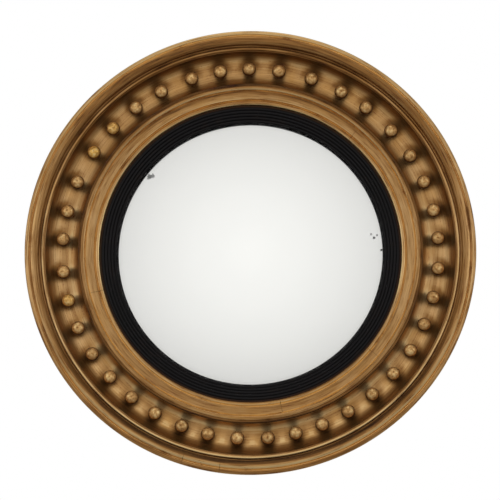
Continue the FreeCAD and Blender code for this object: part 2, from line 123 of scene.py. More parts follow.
class Graph:
    """A node tree, with short ways to add the nodes that the finishes are drawn with."""

    def __init__(self, tree: bpy.types.NodeTree) -> None:
        """Takes a tree, whose surface shader is there already if it has one."""
        self.tree = tree
        self.surface = tree.nodes.get("Principled BSDF")

    def put(self, socket: Socket, value: Value) -> None:
        """Gives an input its value or its link; a node stands for its first output."""
        if isinstance(value, bpy.types.Node):
            value = value.outputs[0]
        if isinstance(value, Socket):
            self.tree.links.new(value, socket)
        else:
            socket.default_value = value

    def set(self, name: str, value: Value) -> None:
        """Sets one input of the surface shader."""
        self.put(self.surface.inputs[name], value)

    def add(self, kind: str, inputs: dict[int | str, Value] | None = None, **settings) -> bpy.types.Node:
        """Adds one node with its settings, values and links.

        Args:
            kind: the node's type.
            inputs: what each input takes, by its name or number.
            settings: the node's own properties.

        Returns:
            The new node.
        """
        node = self.tree.nodes.new(kind)
        for name, value in settings.items():
            setattr(node, name, value)
        for key, value in (inputs or {}).items():
            self.put(node.inputs[key], value)
        return node

    def math(self, operation: str, *values: Value, clamp: bool = False) -> Socket:
        """Works out one sum, held between 0 and 1 where clamp is set."""
        return self.add(
            "ShaderNodeMath", dict(enumerate(values)), operation=operation, use_clamp=clamp,
        ).outputs[0]

    def span(
        self, value: Value, start: Value, end: Value, low: Value, high: Value, **settings,
    ) -> Socket:
        """Maps the stretch from start to end on to low to high, level beyond both ends."""
        stretch = dict(enumerate((value, start, end, low, high)))
        return self.add("ShaderNodeMapRange", stretch, **settings).outputs[0]

    def mix(self, share: Value, first: str | Value, second: str | Value) -> Socket:
        """Mixes two colours, each an sRGB hex code, a linear colour or a socket."""
        pair = [linear(colour) if isinstance(colour, str) else colour for colour in (first, second)]
        return self.add("ShaderNodeMix", {0: share, 6: pair[0], 7: pair[1]}, data_type="RGBA").outputs[2]

    def noise(self, place: Value, size: float, detail: float) -> Socket:
        """Cloudy noise whose largest marks are about so many millimetres across."""
        return self.add(
            "ShaderNodeTexNoise", {"Vector": place, "Scale": 1 / mm(size), "Detail": detail},
        ).outputs[0]

    def dot(self, first: Value, second: Value) -> Socket:
        """Dot product of two vectors."""
        pair = {0: first, 1: second}
        return self.add("ShaderNodeVectorMath", pair, operation="DOT_PRODUCT").outputs["Value"]

    def attribute(self, name: str) -> Socket:
        """Level of a mesh attribute."""
        return self.add("ShaderNodeAttribute", attribute_name=name).outputs["Fac"]

    def ramp(self, value: Value, stops: Sequence[tuple[float, float]]) -> Socket:
        """Grey level along a line of stops.

        Args:
            value: the place on the line, from 0 to 1.
            stops: place and level of each stop, in order.

        Returns:
            The level.
        """
        node = self.add("ShaderNodeValToRGB", {0: value})
        elements = node.color_ramp.elements
        while len(elements) < len(stops):
            elements.new(1.0)
        for element, (place, level) in zip(elements, stops):
            element.position = place
            element.color = (level, level, level, 1.0)
        return node.outputs[0]

    def bump(self, height: Value, depth: float, strength: float) -> None:
        """Gives the surface a relief, with its depth in millimetres."""
        relief = {"Strength": strength, "Distance": mm(depth), "Height": height}
        self.set("Normal", self.add("ShaderNodeBump", relief))


# ---------------------------------------------------------------- meshes


class Profile:
    """A turner's template: a line of points in (radius, height), drawn with straight and bowed moves."""

    def __init__(self, radius: float, height: float) -> None:
        """Starts the line at a point."""
        self.mesh = bmesh.new()
        self.first = self.mesh.verts.new((mm(radius), -mm(height), 0.0))
        self.last = self.first

    def line(self, radius: float, height: float) -> "Profile":
        """Goes straight on to a point."""
        made = bmesh.ops.extrude_vert_indiv(self.mesh, verts=[self.last])
        self.last = made["verts"][0]
        self.last.co = (mm(radius), -mm(height), 0.0)
        return self

    def bow(self, radius: float, height: float, rise: float, steps: int = 10) -> "Profile":
        """Goes on to a point in an arc.

        Args:
            radius: radius of the end point.
            height: height of the end point.
            rise: how far the arc stands out to the left of its chord; below 0 it is hollow.
            steps: how many edges the arc has.

        Returns:
            The profile itself.
        """
        start = self.last.co.copy()
        end = Vector((mm(radius), -mm(height), 0.0))
        chord = end - start
        left = Vector((chord.y, -chord.x, 0.0)).normalized()
        depth = mm(rise)
        curve = (chord.length ** 2 / 4 + depth ** 2) / (2 * depth)
        made = bmesh.ops.spin(
            self.mesh, geom=[self.last], cent=(start + end) / 2 + left * (depth - curve), axis=(0, 0, 1),
            angle=4 * math.atan(2 * depth / chord.length), steps=steps,
        )
        self.last = next(v for v in made["geom_last"] if isinstance(v, bmesh.types.BMVert))
        return self

    def close(self) -> "Profile":
        """Joins the last point to the first."""
        self.mesh.edges.new((self.last, self.first))
        return self

    def ease(self, width: float) -> "Profile":
        """Softens the sharp corners of a closed profile, as gesso and wear do.

        Args:
            width: how far the softening reaches from a corner.

        Returns:
            The profile itself.
        """
        face = bmesh.ops.contextual_create(self.mesh, geom=self.mesh.edges[:])["faces"][0]
        corners = []
        for loop in face.loops:
            before = loop.vert.co - loop.link_loop_prev.vert.co
            after = loop.link_loop_next.vert.co - loop.vert.co
            if before.angle(after) > SHARP_ANGLE:
                corners.append(loop.vert)
        bmesh.ops.bevel(
            self.mesh, geom=corners, offset=mm(width), offset_type="OFFSET", affect="VERTICES", segments=2,
            profile=0.5, material=-1, clamp_overlap=True,
        )
        bmesh.ops.delete(self.mesh, geom=self.mesh.faces[:], context="FACES_ONLY")
        return self

    def turn(self, steps: int = TURN_STEPS) -> Mesh:
        """Turns the profile right round the Y axis.

        An eighth is turned first and then repeated, which is much quicker than one full spin.

        Args:
            steps: how many faces go round, a multiple of eight.

        Returns:
            The closed ring or shell.
        """
        eighth = math.pi / 4
        bmesh.ops.spin(
            self.mesh, geom=self.mesh.verts[:] + self.mesh.edges[:], cent=(0, 0, 0), axis=(0, 1, 0),
            angle=eighth, steps=steps // 8,
        )
        bmesh.ops.spin(
            self.mesh, geom=self.mesh.verts[:] + self.mesh.edges[:] + self.mesh.faces[:], cent=(0, 0, 0),
            axis=(0, 1, 0), angle=7 * eighth, steps=7, use_duplicate=True,
        )
        bmesh.ops.remove_doubles(self.mesh, verts=self.mesh.verts, dist=mm(WELD))
        bmesh.ops.recalc_face_normals(self.mesh, faces=self.mesh.faces)
        return self.mesh


def put_in_scene(name: str, data: bpy.types.ID) -> Piece:
    """Makes an object of a mesh, a camera's data or a lamp's data, in the scene."""
    made = bpy.data.objects.new(name, data)
    bpy.context.scene.collection.objects.link(made)
    return made


def finish_piece(
    mesh: Mesh, name: str, slot: Slot, *stands_for: str, body: Body = Body.FRAME,
) -> Piece:
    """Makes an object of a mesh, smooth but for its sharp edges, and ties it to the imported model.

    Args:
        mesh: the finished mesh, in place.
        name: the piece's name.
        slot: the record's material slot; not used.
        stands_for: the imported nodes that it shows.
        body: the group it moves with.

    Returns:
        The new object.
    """
    for face in mesh.faces:
        face.smooth = True
    for edge in mesh.edges:
        edge.smooth = not (len(edge.link_faces) == 2 and edge.calc_face_angle(0.0) > SHARP_ANGLE)
    data = bpy.data.meshes.new(name)
    mesh.to_mesh(data)
    mesh.free()
    piece = put_in_scene(name, data)
    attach(piece, body.value)
    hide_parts(*stands_for)
    log.info("%s: %d faces, for %s", name, len(data.polygons), ", ".join(stands_for))
    return piece


def eased_copy(node: str, width: float) -> Mesh:
    """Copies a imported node's mesh, joins its triangles and softens its arrises.

    Args:
        node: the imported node.
        width: width of the softened edge, or 0 to leave the edges.

    Returns:
        The new mesh.
    """
    mesh = bmesh.new()
    mesh.from_mesh(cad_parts[node].data)
    bmesh.ops.remove_doubles(mesh, verts=mesh.verts, dist=mm(WELD))
    bmesh.ops.dissolve_limit(
        mesh, angle_limit=FLAT_ANGLE, verts=mesh.verts, edges=mesh.edges, use_dissolve_boundaries=False,
    )
    if width:
        arrises = [e for e in mesh.edges if len(e.link_faces) == 2 and e.calc_face_angle(0.0) > SHARP_ANGLE]
        bmesh.ops.bevel(
            mesh, geom=arrises, offset=mm(width), offset_type="OFFSET", affect="EDGES", segments=2,
            profile=0.5, material=-1, clamp_overlap=True,
        )
    bmesh.ops.triangulate(mesh, faces=[f for f in mesh.faces if len(f.verts) > 4])
    return mesh


# ---------------------------------------------------------------- finishes


@dataclass(frozen=True)
class Turned:
    """Coordinates on a turned piece: place, radius, height and the way round."""

    place: Socket
    radius: Socket
    height: Socket
    around: Socket


def turned_space(graph: Graph) -> Turned:
    """Works out turned coordinates from Object coordinates, with no seam anywhere.

    Args:
        graph: the material's graph.

    Returns:
        Sockets in metres; the way round is a unit vector in the XZ plane.
    """
    place = graph.add("ShaderNodeTexCoord").outputs["Object"]
    parts = graph.add("ShaderNodeSeparateXYZ", {0: place})
    flat = graph.add("ShaderNodeCombineXYZ", {"X": parts.outputs["X"], "Z": parts.outputs["Z"]})
    radius = graph.add("ShaderNodeVectorMath", {0: flat}, operation="LENGTH").outputs["Value"]
    around = graph.add("ShaderNodeVectorMath", {0: flat}, operation="NORMALIZE").outputs[0]
    height = graph.math("MULTIPLY", parts.outputs["Y"], -1.0)
    return Turned(place, radius, height, around)


def streaks(
    graph: Graph, space: Turned, length: float, width: float, detail: float = 3.0, seed: float = 0.0,
) -> Socket:
    """Streaks that follow the turning, from the brush, the glaze and the rubbing.

    Args:
        graph: the material's graph.
        space: turned coordinates.
        length: length of a streak in millimetres, at the streak radius.
        width: its width in millimetres.
        detail: detail of the noise.
        seed: shifts the pattern.

    Returns:
        The noise level.
    """
    across = graph.math("MULTIPLY_ADD", space.height, 0.8, space.radius)
    scaled = graph.math("MULTIPLY_ADD", across, 1 / mm(width), seed)
    lift = graph.add("ShaderNodeCombineXYZ", {"Y": scaled})
    reach = STREAK_RADIUS / length
    vector = graph.add(
        "ShaderNodeVectorMath", {0: space.around, 1: (reach, reach, reach), 2: lift},
        operation="MULTIPLY_ADD",
    )
    look = {"Vector": vector, "Scale": 1.0, "Detail": detail, "Roughness": 0.6}
    return graph.add("ShaderNodeTexNoise", look).outputs["Fac"]


@dataclass(frozen=True)
class Crack:
    """A hairline crack across a moulding, over a joint in the wood below."""

    degrees: float
    inner: float
    outer: float
    width: float = 0.35


class Finish:
    """A surface finish: a named material made once and given to pieces."""

    name = "finish"

    def shade(self, graph: Graph) -> None:
        """Draws the finish's pattern into the material's graph."""
        raise NotImplementedError

    def material(self) -> bpy.types.Material:
        """Makes the material, or finds it if it is made already.

        Returns:
            The material.
        """
        found = bpy.data.materials.get(self.name)
        if found:
            return found
        made = bpy.data.materials.new(self.name)
        made.use_nodes = True
        self.shade(Graph(made.node_tree))
        return made

    def on(self, piece: Piece) -> None:
        """Gives the finish to a whole piece."""
        piece.data.materials.clear()
        piece.data.materials.append(self.material())


@dataclass(frozen=True)
class Gilded(Finish):
    """Gold leaf under a brown glaze, which browns it where thin and hides it where thick."""

    brown: str = "8A5F30"
    glaze: str = "301A08"

    def under_glaze(self, graph: Graph, leaf: Value, glazed: Value) -> Socket:
        """Lays the glaze over the leaf.

        Args:
            graph: the material's graph.
            leaf: colour of the leaf.
            glazed: how much glaze lies on it, from 0 to 1.

        Returns:
            The colour of both together.
        """
        thin = graph.span(glazed, 0.0, 0.5, 0.0, 1.0)
        thick = graph.span(glazed, 0.5, 1.0, 0.0, 1.0)
        return graph.mix(thick, graph.mix(thin, leaf, self.brown), self.glaze)


@dataclass(frozen=True)
class Gilding(Gilded):
    """Gold leaf on red clay and gesso, toned with a brown glaze: a satin metal, brown where the glaze and
    the painted shade lie.

    Each entry of the table has a radius in millimetres and a level at the top, at the sides and at the foot
    of the
    mirror, from 0 to 1: the glaze in the hollows together with painted shade, which differs between top,
    sides and foot as the light falls on them. Below 0 the leaf is lightened as a painted highlight. A ramp
    holds nothing below
    0, so the levels are lifted while in one.
    """

    name: str = "toned_gold_leaf"
    leaf: str = "C29255"
    pale: str = "CEA571"
    burnished: str = "EFCF94"
    clay: str = "7A4230"
    ochre: str = "9A7238"
    glaze_and_painted_light: tuple[tuple[float, float, float, float], ...] = ((160.0, 0.0, 0.0, 0.0), (252.0, 0.0, 0.0, 0.0))
    lift: float = 0.25
    shadow_attribute: str = ""
    calm_radius: float = 0.0
    cracks: tuple[Crack, ...] = ()
    side_radius: float = 243.5
    side_height: float = 38.0

    def crack_mask(self, graph: Graph, space: Turned, crack: Crack) -> Socket:
        """Draws one crack.

        Args:
            graph: the material's graph.
            space: turned coordinates.
            crack: where the crack runs.

        Returns:
            1 in the crack and 0 elsewhere.
        """
        angle = math.radians(crack.degrees)
        shift = graph.math("MULTIPLY_ADD", graph.noise(space.place, 3.0, 2.0), mm(1.6), -mm(0.8))
        aside = graph.dot(space.place, (-math.sin(angle), 0.0, math.cos(angle)))
        away = graph.math("ABSOLUTE", graph.math("ADD", aside, shift))
        line = graph.span(away, 0.0, mm(crack.width), 1.0, 0.0, interpolation_type="SMOOTHSTEP")
        along = graph.dot(space.place, (math.cos(angle), 0.0, math.sin(angle)))
        after = graph.math("GREATER_THAN", along, mm(crack.inner))
        before = graph.math("LESS_THAN", along, mm(crack.outer))
        return graph.math("MULTIPLY", line, graph.math("MULTIPLY", after, before))

    def shade(self, graph: Graph) -> None:
        """Draws leaf, glaze, rubbing and cracks."""
        space = turned_space(graph)
        fine = streaks(graph, space, 26.0, 0.9)
        broad = streaks(graph, space, 60.0, 3.5, 2.0, 7.0)
        patch = graph.noise(space.place, 26.0, 4.0)
        speck = graph.noise(space.place, 1.3, 2.0)

        # Glaze and painted shade lie in the hollows, whose radii the table gives, and differ between top,
        # sides and foot as the light falls; glaze also lies in the streaks.
        near, far = self.glaze_and_painted_light[0][0], self.glaze_and_painted_light[-1][0]
        across = graph.span(space.radius, mm(near), mm(far), 0.0, 1.0)
        places = [(entry[0] - near) / (far - near) for entry in self.glaze_and_painted_light]
        above, beside, below = (
            graph.ramp(across, [(at, entry[end] + self.lift) for at, entry in zip(places, self.glaze_and_painted_light)])
            for end in (1, 2, 3)
        )
        upright = graph.add("ShaderNodeSeparateXYZ", {0: space.around}).outputs["Z"]
        high = graph.span(upright, 0.2, 0.9, 0.0, 1.0)
        low = graph.span(upright, -0.2, -0.9, 0.0, 1.0)
        upper = graph.add("ShaderNodeMix", {0: high, 2: beside, 3: above}, data_type="FLOAT")
        lifted = graph.add("ShaderNodeMix", {0: low, 2: upper, 3: below}, data_type="FLOAT")
        # This level is glaze together with painted shade, and below 0 a painted highlight.
        hollow = graph.math("SUBTRACT", lifted, self.lift)
        # Painted shadow round the balls, partly pooled glaze, comes from a mesh attribute.
        if self.shadow_attribute:
            hollow = graph.math("ADD", hollow, graph.attribute(self.shadow_attribute))
        brushed = graph.span(fine, 0.5, 0.72, 0.0, 0.42)
        washed = graph.span(broad, 0.45, 0.75, 0.0, 0.22)
        lines = graph.math("ADD", brushed, washed)
        if self.calm_radius:
            strength = graph.span(space.radius, mm(self.calm_radius), mm(self.calm_radius + 3.0), 0.5, 1.3)
            lines = graph.math("MULTIPLY", lines, strength)
        glazed = graph.math("ADD", lines, hollow, clamp=True)
        for crack in self.cracks:
            glazed = graph.math("MAXIMUM", glazed, self.crack_mask(graph, space, crack))

        # The sides of the mirror are paler: painted sheen where the light catches them, with some dust.
        clouded = graph.span(patch, 0.35, 0.7, 0.0, 0.7)
        ends = graph.math("ADD", high, low)
        side_sheen_and_dust = graph.span(ends, 0.0, 1.0, 0.35, 0.0)
        pale = graph.math("ADD", clouded, side_sheen_and_dust, clamp=True)
        dull_leaf = graph.mix(pale, self.leaf, self.pale)
        # Where the table goes below 0 the leaf is lightened towards burnished gold: a painted highlight.
        painted_highlight = graph.span(hollow, 0.0, -self.lift, 0.0, 1.0)
        fleck = graph.span(fine, 0.44, 0.3, 0.0, 0.35)
        bright = graph.math("ADD", painted_highlight, fleck, clamp=True)
        leaf = graph.mix(bright, dull_leaf, self.burnished)
        toned = self.under_glaze(graph, leaf, glazed)
        worn = graph.math("MULTIPLY", fine, speck)
        rubbed = graph.span(worn, 0.33, 0.42, 0.0, 0.7)
        colour = graph.mix(rubbed, toned, self.clay)

        # Behind the edge bead the side is only brushed with yellow ochre size, which is matt.
        outside = graph.span(space.height, mm(self.side_height - 1.0), mm(self.side_height), 1.0, 0.0)
        past = graph.math("GREATER_THAN", space.radius, mm(self.side_radius))
        side = graph.math("MULTIPLY", outside, past)
        graph.set("Base Color", graph.mix(side, colour, self.ochre))

        dull = graph.math("MAXIMUM", glazed, side)
        metal = graph.span(dull, 0.0, 1.0, 0.97, 0.8)
        leafed = graph.span(side, 0.0, 1.0, 1.0, 0.1)
        graph.set("Metallic", graph.math("MULTIPLY", metal, leafed))
        matt = graph.span(dull, 0.0, 1.0, 0.3, 0.42)
        graph.set("Roughness", graph.math("MULTIPLY_ADD", speck, 0.12, matt))
        ridges = graph.math("MULTIPLY_ADD", broad, 2.0, fine)
        graph.bump(ridges, 0.12, 0.5)


@dataclass(frozen=True)
class BallGilding(Gilded):
    """The same toned leaf on small balls: mottled, and brighter yellow on the few that were regilded."""

    name: str = "toned_gold_leaf_balls"
    leaf: str = "D6A668"
    burnished: str = "FADC9C"
    fresh: str = "E8B55E"
    foot_shade_level: float = 36.4
    foot_shade_clear_level: float = 38.4

    def shade(self, graph: Graph) -> None:
        """Draws mottled leaf, with painted shade round each ball's foot and a painted dark reflection at
        its front centre.
        """
        space = turned_space(graph)
        mottle = graph.noise(space.place, 3.0, 3.0)
        tone = graph.attribute("ball_tone")
        regilt = graph.span(tone, 0.2, 1.0, 0.0, 1.0)
        laid = graph.mix(regilt, self.leaf, self.fresh)
        fleck = graph.span(mottle, 0.5, 0.36, 0.0, 0.6)
        leaf = graph.mix(fleck, laid, self.burnished)
        # Darker towards each ball's foot, where it meets the cove: painted shade.
        foot = graph.span(space.height, mm(self.foot_shade_level), mm(self.foot_shade_clear_level), 0.8, 0.0)
        spots = graph.span(mottle, 0.52, 0.68, 0.0, 0.3)
        # The front centre of each ball is darkened: a painted dark reflection.
        centre = graph.attribute("centre_reflection_mark")
        marks_and_reflection = graph.math("MULTIPLY_ADD", centre, 0.5, spots)
        both = graph.math("ADD", foot, marks_and_reflection, clamp=True)
        older = graph.span(tone, -0.35, 0.2, 0.15, 0.0)
        glazed = graph.math("ADD", both, older, clamp=True)
        graph.set("Base Color", self.under_glaze(graph, leaf, glazed))
        graph.set("Metallic", graph.span(glazed, 0.0, 1.0, 0.85, 0.8))
        graph.set("Roughness", graph.span(mottle, 0.3, 0.7, 0.34, 0.5))
        graph.bump(mottle, 0.15, 0.25)


@dataclass(frozen=True)
class Ebonised(Finish):
    """Turned wood, stained black and polished: nearly black, with a low sheen that shows the turning."""

    name: str = "ebonised_turned_wood"
    black: str = "0B0809"
    brown: str = "1C120D"
    stained: str = "3A2210"
    stain_radius: float = 165.5

    def shade(self, graph: Graph) -> None:
        """Draws the stain, the rubbed places and the turning marks."""
        space = turned_space(graph)
        fine = streaks(graph, space, 40.0, 0.6)
        patch = graph.noise(space.place, 9.0, 4.0)
        both = graph.math("MULTIPLY", fine, patch)
        worn = graph.span(both, 0.3, 0.42, 0.0, 0.8)
        colour = graph.mix(worn, self.black, self.brown)
        # Glaze and gold size have run on to the fillet beside the gilt bead.
        edge = graph.span(space.radius, mm(self.stain_radius - 0.2), mm(self.stain_radius + 1.0), 0.0, 0.9)
        graph.set("Base Color", graph.mix(edge, colour, self.stained))
        graph.set("Specular IOR Level", 0.16)
        graph.set("Roughness", graph.span(fine, 0.3, 0.7, 0.32, 0.48))
        graph.bump(fine, 0.06, 0.35)


@dataclass(frozen=True)
class PlateGlass(Finish):
    """Bent plate glass: clear, with hardly any tint and a faint ripple."""

    name: str = "bent_plate_glass"
    tint: str = "FCFCFA"

    def shade(self, graph: Graph) -> None:
        """Sets clear glass with a ripple too slow to see but in a moving reflection."""
        graph.set("Base Color", linear(self.tint))
        graph.set("Transmission Weight", 1.0)
        graph.set("Roughness", 0.0)
        graph.set("IOR", 1.52)
        place = graph.add("ShaderNodeTexCoord").outputs["Object"]
        ripple = graph.noise(place, 70.0, 1.0)
        graph.bump(ripple, 0.02, 0.1)


@dataclass(frozen=True)
class Loss:
    """A place where the silvering has lifted, seen through the glass."""

    degrees: float
    radius: float
    size: float
    strength: float = 1.0


@dataclass(frozen=True)
class Silvering(Finish):
    """Old mirror silver: bright and neutral, greyed near its edge and lifted in a few places."""

    name: str = "mirror_silver"
    silver: str = "FFFFFF"
    fox: str = "B8B4AC"
    bare: str = "3C3A38"
    losses: tuple[Loss, ...] = ()
    foxed_from: float = 141.0
    foxed_to: float = 152.0

    def shade(self, graph: Graph) -> None:
        """Draws the silver with its losses and its foxed edge."""
        space = turned_space(graph)
        ragged = graph.noise(space.place, 2.2, 4.0)
        flat = graph.add("ShaderNodeVectorMath", {0: space.place, 1: (1.0, 0.0, 1.0)}, operation="MULTIPLY")
        lifted: Value = 0.0
        for loss in self.losses:
            angle = math.radians(loss.degrees)
            centre = (mm(loss.radius) * math.cos(angle), 0.0, mm(loss.radius) * math.sin(angle))
            away = graph.add("ShaderNodeVectorMath", {0: flat, 1: centre}, operation="DISTANCE")
            gap = away.outputs["Value"]
            edge = graph.math("MULTIPLY_ADD", ragged, -mm(loss.size) * 2.2, gap)
            mask = graph.span(edge, -mm(loss.size) * 0.35, mm(loss.size) * 0.15, loss.strength, 0.0)
            lifted = graph.math("MAXIMUM", mask, lifted)
        rim = graph.span(space.radius, mm(self.foxed_from), mm(self.foxed_to), 0.0, 0.5)
        foxed = graph.math("MULTIPLY", rim, ragged)
        grey = graph.mix(foxed, self.silver, self.fox)
        graph.set("Base Color", graph.mix(lifted, grey, self.bare))
        graph.set("Metallic", graph.span(lifted, 0.0, 1.0, 1.0, 0.1))
        graph.set("Roughness", graph.span(lifted, 0.0, 1.0, 0.02, 0.7))


@dataclass(frozen=True)
class Pine(Finish):
    """Old sawn pine: wavering rings a few millimetres apart, browned by air and handling."""

    name: str = "aged_pine"
    early: str = "B08A5C"
    late: str = "7E5634"
    grime: str = "4A3526"
    turn: float = 0.0
    seed: float = 0.0
    ring_spacing: float = 3.2
    painted_side: bool = False
    ochre: str = "8C6A38"
    side_radius: float = 236.8
    side_slope: float = 0.361

    def shade(self, graph: Graph) -> None:
        """Draws the growth rings along the grain, the pores and the grime."""
        space = turned_space(graph)
        grain = graph.add("ShaderNodeMapping", {
            0: space.place, "Rotation": (0.0, self.turn, 0.0), "Scale": (0.06, 1.0, 1.0),
            "Location": (self.seed, self.seed * 0.7, self.seed * 0.3),
        })
        bend = graph.noise(grain, 22.0, 2.0)
        wave = {
            "Vector": grain, "Scale": WAVE_LENGTH / mm(self.ring_spacing), "Distortion": 26.0,
            "Detail": 2.0, "Detail Scale": 0.3,
        }
        rings = graph.add("ShaderNodeTexWave", wave, bands_direction="Z", wave_profile="SAW")
        pores = graph.noise(grain, 0.7, 3.0)
        tint = graph.math("MULTIPLY", rings, bend)
        dark = graph.span(tint, 0.1, 0.65, 0.0, 1.0)
        wood = graph.mix(dark, self.early, self.late)
        smear = graph.noise(space.place, 38.0, 5.0)
        dirt = graph.math("MULTIPLY", smear, pores)
        soiled = graph.span(dirt, 0.2, 0.42, 0.05, 0.85)
        colour = graph.mix(soiled, wood, self.grime)
        if self.painted_side:
            slope = graph.math("MULTIPLY_ADD", space.height, -self.side_slope, space.radius)
            edge = graph.span(slope, mm(self.side_radius), mm(self.side_radius + 0.6), 0.0, 0.85)
            colour = graph.mix(edge, colour, self.ochre)
        graph.set("Base Color", colour)
        graph.set("Roughness", graph.span(pores, 0.3, 0.7, 0.68, 0.86))
        relief = graph.math("MULTIPLY_ADD", rings, 0.6, pores)
        graph.bump(relief, 0.12, 0.6)


@dataclass(frozen=True)
class DullMetal(Finish):
    """Old pressed metal: bright where it rubs and brown-black where it has tarnished."""

    name: str = "tarnished_brass"
    bright: str = "B08D57"
    dark: str = "4E3B26"
    polish: float = 0.34
    tarnish: float = 0.5

    def shade(self, graph: Graph) -> None:
        """Draws the tarnish in patches with fine scratches."""
        place = graph.add("ShaderNodeTexCoord").outputs["Object"]
        patch = graph.noise(place, 4.0, 5.0)
        grit = graph.noise(place, 0.5, 2.0)
        mixed = graph.math("MULTIPLY_ADD", grit, 0.35, patch)
        aged = graph.span(mixed, 1.05 - self.tarnish, 1.3 - self.tarnish, 0.0, 1.0)
        graph.set("Base Color", graph.mix(aged, self.bright, self.dark))
        graph.set("Metallic", graph.span(aged, 0.0, 1.0, 1.0, 0.75))
        graph.set("Roughness", graph.span(aged, 0.0, 1.0, self.polish, self.polish + 0.3))
        graph.bump(grit, 0.04, 0.3)


# ---------------------------------------------------------------- the mirror's pieces


@dataclass
class OuterMoulding:
    """The outer ring: the cove that carries the balls, a fillet bead, the torus and the edge bead."""

    bore: float = 191.6
    joint_level: float = 18.0
    floor_level: float = 27.0
    floor_inner: float = 204.6
    floor_outer: float = 212.6
    inner_wall: float = 6.5
    cove_radius: float = 15.0
    ledge: float = 0.5
    fillet: float = 4.2
    fillet_rise: float = 2.2
    quirk: float = 2.0
    quirk_depth: float = 0.9
    torus: float = 10.2
    torus_foot: float = 0.9
    torus_tilt: float = 2.6
    torus_rise: float = 4.8
    groove: float = 0.5
    groove_depth: float = 0.1
    edge_bead: float = 5.0
    front_setback: float = 3.2
    back_setback: float = 5.5
    ease: float = 0.22
    # Painted shadow round the balls: its gap from each ball, its reach, its lift upwards, and its level all
    # round and behind.
    shadow_gap: float = 1.6
    shadow_reach: float = 6.0
    shadow_lift: float = 2.5
    shadow_all_round: float = 0.24
    shadow_behind: float = 0.38
    # Glaze and painted shade by radius at the top, sides and foot; below 0 a painted highlight.
    glaze_and_painted_light: tuple[tuple[float, float, float, float], ...] = (
        (191.6, 0.7, 0.4, 0.0), (193.5, 0.4, 0.12, 0.0), (195.0, 0.35, 0.1, -0.03),
        (198.0, 0.35, 0.02, -0.08), (201.0, 0.14, -0.03, 0.13), (202.5, 0.18, 0.05, 0.22),
        (205.0, 0.05, 0.18, 0.1), (207.5, 0.07, 0.18, 0.03), (210.0, 0.13, 0.04, -0.08),
        (214.0, 0.2, 0.0, -0.1), (216.0, 0.14, -0.03, 0.1), (218.0, 0.0, 0.03, 0.38),
        (219.5, -0.05, 0.18, 0.45), (221.0, -0.03, 0.33, 0.5), (222.5, 0.0, 0.33, 0.45),
        (225.5, 0.32, 0.17, 0.23), (227.0, 0.42, 0.12, 0.2), (228.2, 0.44, 0.28, 0.28),
        (229.5, 0.3, 0.04, 0.0), (231.0, 0.37, -0.16, -0.25), (232.4, 0.3, -0.2, -0.25),
        (233.6, 0.42, 0.42, 0.74), (235.5, 0.18, 0.15, 0.78), (237.0, 0.4, 0.33, 0.75),
        (238.5, 0.42, 0.25, 0.62), (240.0, 0.48, 0.2, 0.15), (241.5, 0.4, 0.0, -0.15),
        (243.0, 0.03, -0.08, -0.24), (244.6, -0.25, -0.1, -0.25), (246.0, -0.22, -0.08, 0.12),
        (247.5, 0.0, 0.0, 0.45), (250.0, -0.25, 0.0, 0.0),
    )

    def build(self) -> Piece:
        """Turns the ring.

        Returns:
            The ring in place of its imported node.
        """
        edge = self.floor_outer + self.cove_radius
        top = self.floor_level + self.cove_radius
        bead = edge + self.ledge
        quirk = bead + self.fillet
        torus = quirk + self.quirk
        torus_level = top + self.torus_foot
        outer = torus + self.torus
        outer_level = torus_level + self.torus_tilt
        rim = outer + self.groove
        rim_level = outer_level - self.groove_depth / 2
        radius = rim + self.edge_bead
        half = self.edge_bead / 2
        chord = math.hypot(self.floor_inner - self.bore, self.inner_wall)
        curve = chord ** 2 / (2 * self.inner_wall)
        sag = curve - math.sqrt(curve ** 2 - (chord / 2) ** 2)
        shape = Profile(self.bore, self.joint_level)
        shape.line(self.bore, self.floor_level + self.inner_wall)
        shape.bow(self.floor_inner, self.floor_level, -sag, 12)
        shape.line(self.floor_outer, self.floor_level)
        shape.bow(edge, top, -self.cove_radius * (1 - math.sqrt(0.5)), 16)
        shape.line(bead, top)
        shape.bow(quirk, top, self.fillet_rise, 14)
        shape.line(quirk + self.quirk / 4, top - self.quirk_depth)
        shape.line(torus, top - self.quirk_depth)
        shape.line(torus, torus_level)
        shape.bow(outer, outer_level, self.torus_rise, 22)
        shape.line(outer + self.groove / 2, outer_level - self.groove_depth)
        shape.line(rim, rim_level)
        shape.bow(radius, rim_level, half, 14)
        shape.bow(radius - half, rim_level - half, half * (1 - math.sqrt(0.5)), 6)
        shape.line(radius - self.front_setback, rim_level - half)
        shape.line(radius - self.back_setback, self.joint_level)
        shape.close().ease(self.ease)
        ring = shape.turn()
        self.paint_ball_shadows(ring, GiltBalls())
        return finish_piece(ring, "gilt_outer_ring", Slot.GILDING, "outer_moulding")

    def paint_ball_shadows(self, ring: Mesh, balls: "GiltBalls") -> None:
        """Marks the cove with painted shadow round the balls, partly pooled glaze: most behind them and a
        little above.

        Args:
            ring: the turned ring.
            balls: the balls that stand in the cove.
        """
        shadow_layer = ring.verts.layers.float.new("ball_shadow_and_glaze")
        feet = KDTree(balls.count)
        for index in range(balls.count):
            angle = balls.angle(index)
            across, up = balls.ring_radius * math.cos(angle), balls.ring_radius * math.sin(angle)
            feet.insert((mm(across), 0.0, mm(up + self.shadow_lift)), index)
        feet.balance()
        for vert in ring.verts:
            flat = Vector((vert.co.x, 0.0, vert.co.z))
            foot, _, gap = feet.find(flat)
            clear = (gap - mm(balls.diameter / 2 + self.shadow_gap)) / mm(self.shadow_reach)
            behind = (flat.length - foot.length) / max(gap, mm(1.0))
            if clear < 1.0 and flat.length < mm(self.floor_outer + self.cove_radius):
                share = 1.0 - max(clear, 0.0)
                depth = self.shadow_all_round + self.shadow_behind * behind
                vert[shadow_layer] = share * share * (3 - 2 * share) * depth

